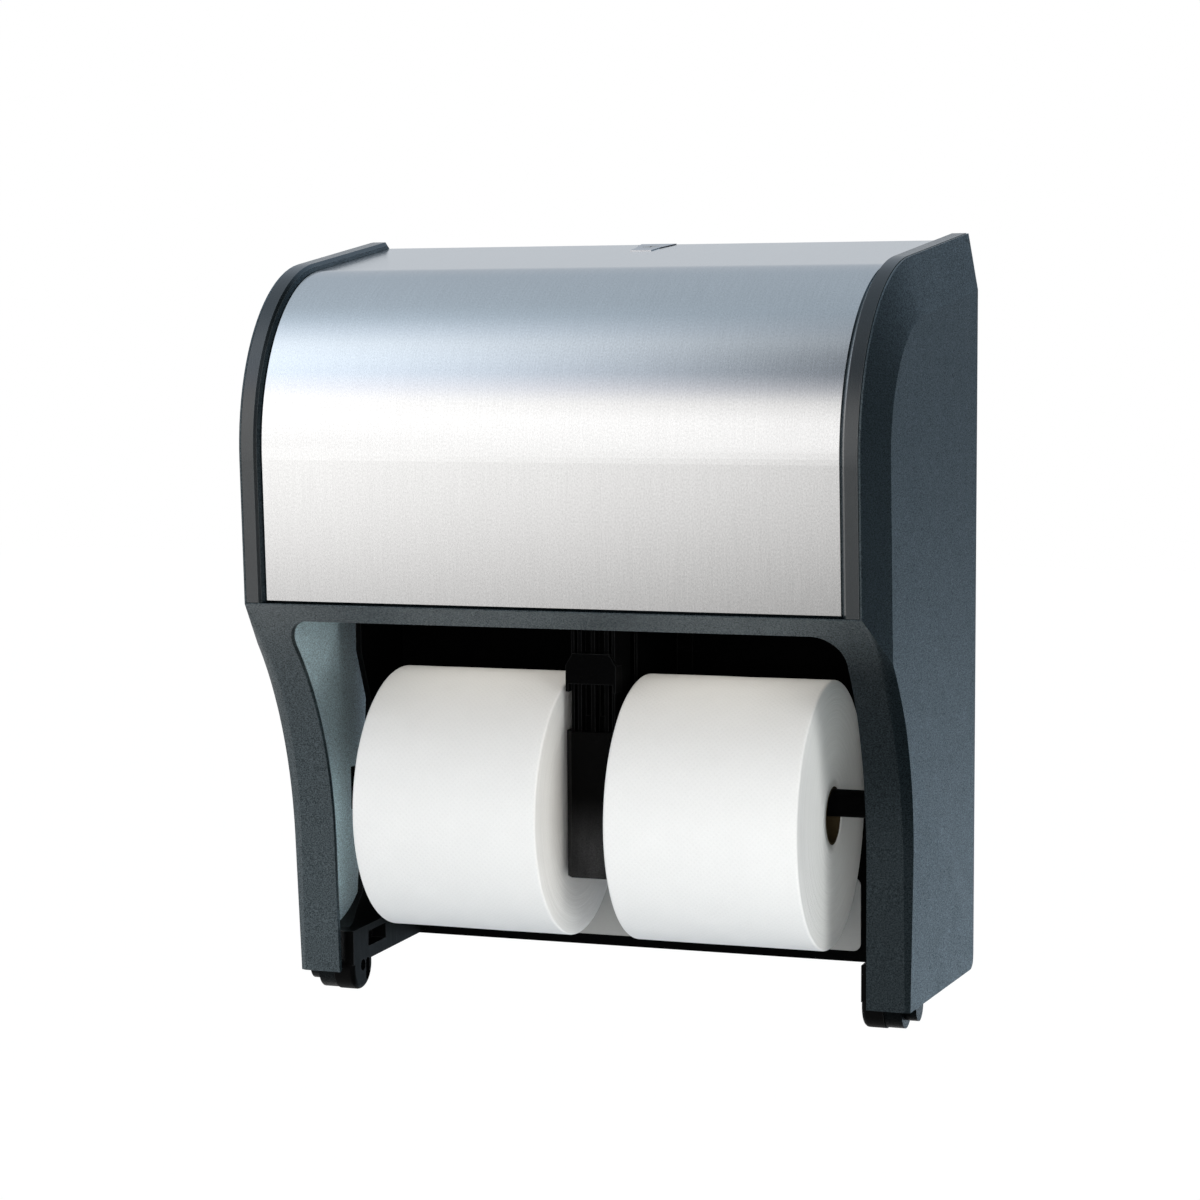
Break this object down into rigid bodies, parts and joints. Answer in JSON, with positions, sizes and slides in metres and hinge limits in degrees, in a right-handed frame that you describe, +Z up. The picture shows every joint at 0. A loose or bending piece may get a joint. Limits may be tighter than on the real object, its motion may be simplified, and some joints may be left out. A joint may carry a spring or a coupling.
{
  "type": "toilet paper dispenser",
  "caption": "Wall dispenser for small toilet rolls: swing-down smoke cover with a brushed steel front, key lock, rods on carriages, and a sprung slide that lets reserve rolls down.",
  "frame": {"origin": "on the wall plane, in the middle of the width, level with the lower edge of the cover's arms", "axes": "+X to the right seen from the front, +Y into the wall, +Z up"},
  "size_m": [0.3368, 0.1864, 0.3878],
  "materials": {
    "black_plastic": "matte",
    "smoke_plastic": "fine grain",
    "strip_plastic": "satin",
    "brushed_panel": "brushed",
    "grey_plate": "matte",
    "grey_lock_plate": "satin",
    "zinc_steel": "zinc plated",
    "lock_metal": "polished",
    "tissue_paper": "embossed",
    "core_board": "matte"
  },
  "bodies": {
    "frame": {"back_plate": "black_plastic", "blank_plate": "grey_plate", "wing_left": "black_plastic", "wing_right": "black_plastic", "wing_screws": "zinc_steel", "centre_post": "black_plastic", "post_screws": "zinc_steel", "post_cover": "black_plastic", "return_spring": "zinc_steel", "pawl_pins": "zinc_steel", "hinge_pins": "zinc_steel", "lock_strike": "zinc_steel", "strike_screws": "zinc_steel"},
    "cover": {"cover_shell": "smoke_plastic", "steel_panel": "brushed_panel", "rim_strip_left": "strip_plastic", "rim_strip_right": "strip_plastic", "panel_clips": "zinc_steel", "lock_tongue": "grey_lock_plate", "lock_housing": "black_plastic"},
    "lock": {"lock_barrel": "lock_metal", "lock_cam": "zinc_steel", "cam_screw": "zinc_steel"},
    "slider": {"release_slider": "black_plastic"},
    "pawl_left": {"pawl_left": "black_plastic"},
    "pawl_right": {"pawl_right": "black_plastic"},
    "holder_lower_left": {"carriage_lower_left": "black_plastic", "roll_rod_lower_left": "black_plastic"},
    "roll_lower_left": {"paper_roll_lower_left": "tissue_paper", "roll_core_lower_left": "core_board"},
    "holder_lower_right": {"carriage_lower_right": "black_plastic", "roll_rod_lower_right": "black_plastic"},
    "roll_lower_right": {"paper_roll_lower_right": "tissue_paper", "roll_core_lower_right": "core_board"},
    "holder_reserve_left": {"carriage_reserve_left": "black_plastic", "roll_rod_reserve_left": "black_plastic"},
    "roll_reserve_left": {"paper_roll_reserve_left": "tissue_paper", "roll_core_reserve_left": "core_board"},
    "holder_reserve_right": {"carriage_reserve_right": "black_plastic", "roll_rod_reserve_right": "black_plastic"},
    "roll_reserve_right": {"paper_roll_reserve_right": "tissue_paper", "roll_core_reserve_right": "core_board"}
  },
  "joints": [
    {"name": "cover_hinge", "type": "hinge", "parent": "frame", "child": "cover", "pos_m": [0, -0.09, 0], "axis": [1, 0, 0], "range_deg": [0, 95]},
    {"name": "lock_turn", "type": "hinge", "parent": "cover", "child": "lock", "pos_m": [0, -0.016, 0.37312], "axis": [0, 0.1288, -0.9917], "range_deg": [0, 90]},
    {"name": "release_slide", "type": "slide", "parent": "frame", "child": "slider", "axis": [0, 0, -1], "range_m": [0, 0.0195], "stiffness_N_per_m": 60, "springref_m": -0.02, "deforming": ["return_spring"]},
    {"name": "pawl_turn_left", "type": "hinge", "parent": "frame", "child": "pawl_left", "pos_m": [-0.0042, -0.088, 0.2373], "axis": [0, 1, 0], "range_deg": [0, 12.1]},
    {"name": "pawl_turn_right", "type": "hinge", "parent": "frame", "child": "pawl_right", "pos_m": [0.0042, -0.088, 0.2373], "axis": [0, -1, 0], "range_deg": [0, 12.1]},
    {"name": "lift_lower_left", "type": "slide", "parent": "frame", "child": "holder_lower_left", "axis": [0, 0, 1], "range_m": [0, 0.034]},
    {"name": "spin_lower_left", "type": "hinge", "parent": "holder_lower_left", "child": "roll_lower_left", "pos_m": [-0.0656, -0.0809, 0.0892], "axis": [1, 0, 0], "continuous": true},
    {"name": "lift_lower_right", "type": "slide", "parent": "frame", "child": "holder_lower_right", "axis": [0, 0, 1], "range_m": [0, 0.034]},
    {"name": "spin_lower_right", "type": "hinge", "parent": "holder_lower_right", "child": "roll_lower_right", "pos_m": [0.0656, -0.0809, 0.0892], "axis": [1, 0, 0], "continuous": true},
    {"name": "lift_reserve_left", "type": "slide", "parent": "frame", "child": "holder_reserve_left", "axis": [0, 0, 1], "range_m": [0, 0.012]},
    {"name": "spin_reserve_left", "type": "hinge", "parent": "holder_reserve_left", "child": "roll_reserve_left", "pos_m": [-0.0656, -0.0809, 0.262], "axis": [1, 0, 0], "continuous": true},
    {"name": "lift_reserve_right", "type": "slide", "parent": "frame", "child": "holder_reserve_right", "axis": [0, 0, 1], "range_m": [0, 0.012]},
    {"name": "spin_reserve_right", "type": "hinge", "parent": "holder_reserve_right", "child": "roll_reserve_right", "pos_m": [0.0656, -0.0809, 0.262], "axis": [1, 0, 0], "continuous": true}
  ],
  "couplings": [
    {"joint": "pawl_turn_left", "follows": "release_slide", "rad_per_m": 10.74},
    {"joint": "pawl_turn_right", "follows": "release_slide", "rad_per_m": 10.74}
  ]
}
